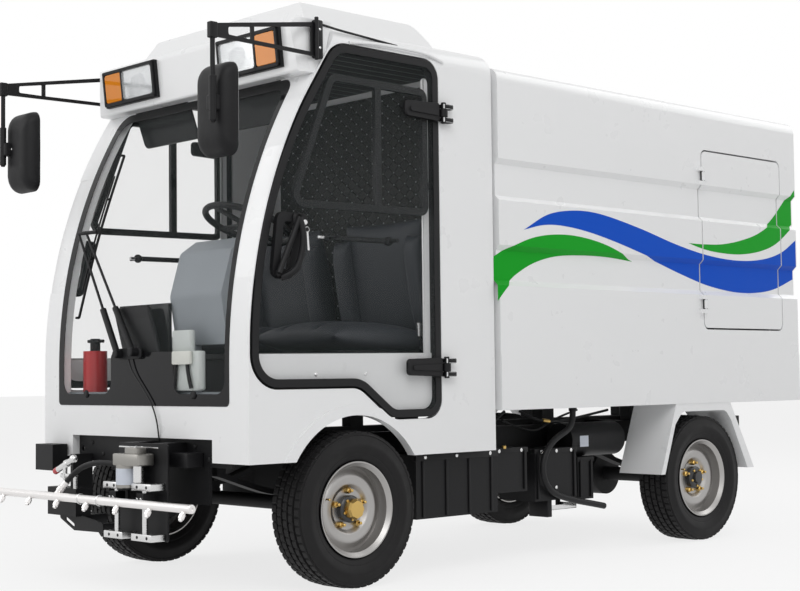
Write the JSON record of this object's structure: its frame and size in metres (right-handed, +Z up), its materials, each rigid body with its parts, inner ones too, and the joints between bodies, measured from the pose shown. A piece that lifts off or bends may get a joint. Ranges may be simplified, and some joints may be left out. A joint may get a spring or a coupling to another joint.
{
  "type": "street washer truck",
  "caption": "Compact electric street washer truck with glazed cab, fluted tank body with hatches, front spray bar on a lift, steerable front wheels and opening doors.",
  "frame": {"origin": "on the ground under the centre of the whole vehicle", "axes": "+X forward, +Y to the vehicle's left, +Z up"},
  "size_m": [3.8633, 1.546, 2.276],
  "materials": {
    "white_paint": "gloss",
    "black_metal": "satin",
    "door_black": "satin",
    "clear_glass": "clear",
    "grey_plastic": "satin",
    "black_plastic": "matt",
    "red_paint": "gloss",
    "clear_plastic": "satin",
    "seat_cover": "matt",
    "tank_plastic": "satin",
    "tyre_rubber": "matt",
    "wheel_steel": "satin",
    "bright_steel": "satin",
    "bar_metal": "satin",
    "axle_iron": "rough",
    "hose_rubber": "satin"
  },
  "bodies": {
    "chassis": {"battery_pack": "black_metal", "body_shell": "white_paint", "cab_floor": "black_metal", "cab_shell": "white_paint", "chassis_frame": "black_metal", "dashboard": "grey_plastic", "drain_hose": "hose_rubber", "drive_motor": "black_metal", "equipment_boxes": "black_metal", "fire_extinguisher": "red_paint", "front_axle": "axle_iron", "front_bumper": "black_metal", "front_hose": "hose_rubber", "lamp_pods": "black_plastic", "leaf_springs": "axle_iron", "lift_actuator": "grey_plastic", "mirrors": "black_plastic", "pump_unit": "black_metal", "rear_axle": "axle_iron", "rear_bumper": "black_metal", "rear_fenders": "white_paint", "roof_unit": "white_paint", "seats": "seat_cover", "spray_mount": "black_metal", "washer_bottle": "clear_plastic", "water_tank": "tank_plastic", "windscreen": "clear_glass", "wiper": "black_plastic", "wiper_cable": "hose_rubber"},
    "spray_lift": {"spray_carriage": "black_metal", "spray_bar": "bar_metal"},
    "steering_wheel": {"steering_wheel": "black_plastic"},
    "rear_door": {"rear_door": "white_paint"},
    "knuckle_left": {"knuckle_left": "axle_iron"},
    "front_wheel_left": {"front_rim_left": "wheel_steel", "front_tyre_left": "tyre_rubber"},
    "rear_wheel_left": {"rear_rim_left": "wheel_steel", "rear_tyre_left": "tyre_rubber"},
    "cab_door_left": {"cab_door_left": "door_black", "door_glass_left": "clear_glass"},
    "side_hatch_left": {"side_hatch_left": "white_paint"},
    "knuckle_right": {"knuckle_right": "axle_iron"},
    "front_wheel_right": {"front_rim_right": "wheel_steel", "front_tyre_right": "tyre_rubber"},
    "rear_wheel_right": {"rear_rim_right": "wheel_steel", "rear_tyre_right": "tyre_rubber"},
    "cab_door_right": {"cab_door_right": "door_black", "door_glass_right": "clear_glass"},
    "side_hatch_right": {"side_hatch_right": "white_paint"}
  },
  "joints": [
    {"name": "steer_left", "type": "hinge", "parent": "chassis", "child": "knuckle_left", "pos_m": [1.1618, 0.5, 0.298], "axis": [0, 0, 1], "range_deg": [-30, 30]},
    {"name": "front_spin_left", "type": "hinge", "parent": "knuckle_left", "child": "front_wheel_left", "pos_m": [1.1618, 0.63, 0.298], "axis": [0, 1, 0], "continuous": true},
    {"name": "rear_spin_left", "type": "hinge", "parent": "chassis", "child": "rear_wheel_left", "pos_m": [-1.0682, 0.622, 0.298], "axis": [0, 1, 0], "continuous": true},
    {"name": "door_left", "type": "hinge", "parent": "chassis", "child": "cab_door_left", "pos_m": [0.6918, 0.724, 1.348], "axis": [0, 0, 1], "range_deg": [0, 75]},
    {"name": "hatch_left", "type": "hinge", "parent": "chassis", "child": "side_hatch_left", "pos_m": [-1.0842, 0.7264, 1.44], "axis": [0, 0, -1], "range_deg": [0, 105]},
    {"name": "steer_right", "type": "hinge", "parent": "chassis", "child": "knuckle_right", "pos_m": [1.1618, -0.5, 0.298], "axis": [0, 0, 1], "range_deg": [-30, 30]},
    {"name": "front_spin_right", "type": "hinge", "parent": "knuckle_right", "child": "front_wheel_right", "pos_m": [1.1618, -0.63, 0.298], "axis": [0, 1, 0], "continuous": true},
    {"name": "rear_spin_right", "type": "hinge", "parent": "chassis", "child": "rear_wheel_right", "pos_m": [-1.0682, -0.622, 0.298], "axis": [0, 1, 0], "continuous": true},
    {"name": "door_right", "type": "hinge", "parent": "chassis", "child": "cab_door_right", "pos_m": [0.6918, -0.724, 1.348], "axis": [0, 0, -1], "range_deg": [0, 75]},
    {"name": "hatch_right", "type": "hinge", "parent": "chassis", "child": "side_hatch_right", "pos_m": [-1.0842, -0.7264, 1.44], "axis": [0, 0, 1], "range_deg": [0, 105]},
    {"name": "rear_door_swing", "type": "hinge", "parent": "chassis", "child": "rear_door", "pos_m": [-1.9216, -0.564, 1.38], "axis": [0, 0, 1], "range_deg": [0, 110]},
    {"name": "steering_wheel_turn", "type": "hinge", "parent": "chassis", "child": "steering_wheel", "pos_m": [1.3838, 0.325, 1.4], "axis": [-0.3746, 0, 0.9272], "range_deg": [-482, 482]},
    {"name": "spray_slide", "type": "slide", "parent": "chassis", "child": "spray_lift", "axis": [0, 0, 1], "range_m": [-0.09, 0]}
  ],
  "couplings": [
    {"joint": "steer_right", "follows": "steer_left", "ratio": 1},
    {"joint": "steering_wheel_turn", "follows": "steer_left", "ratio": 16}
  ]
}
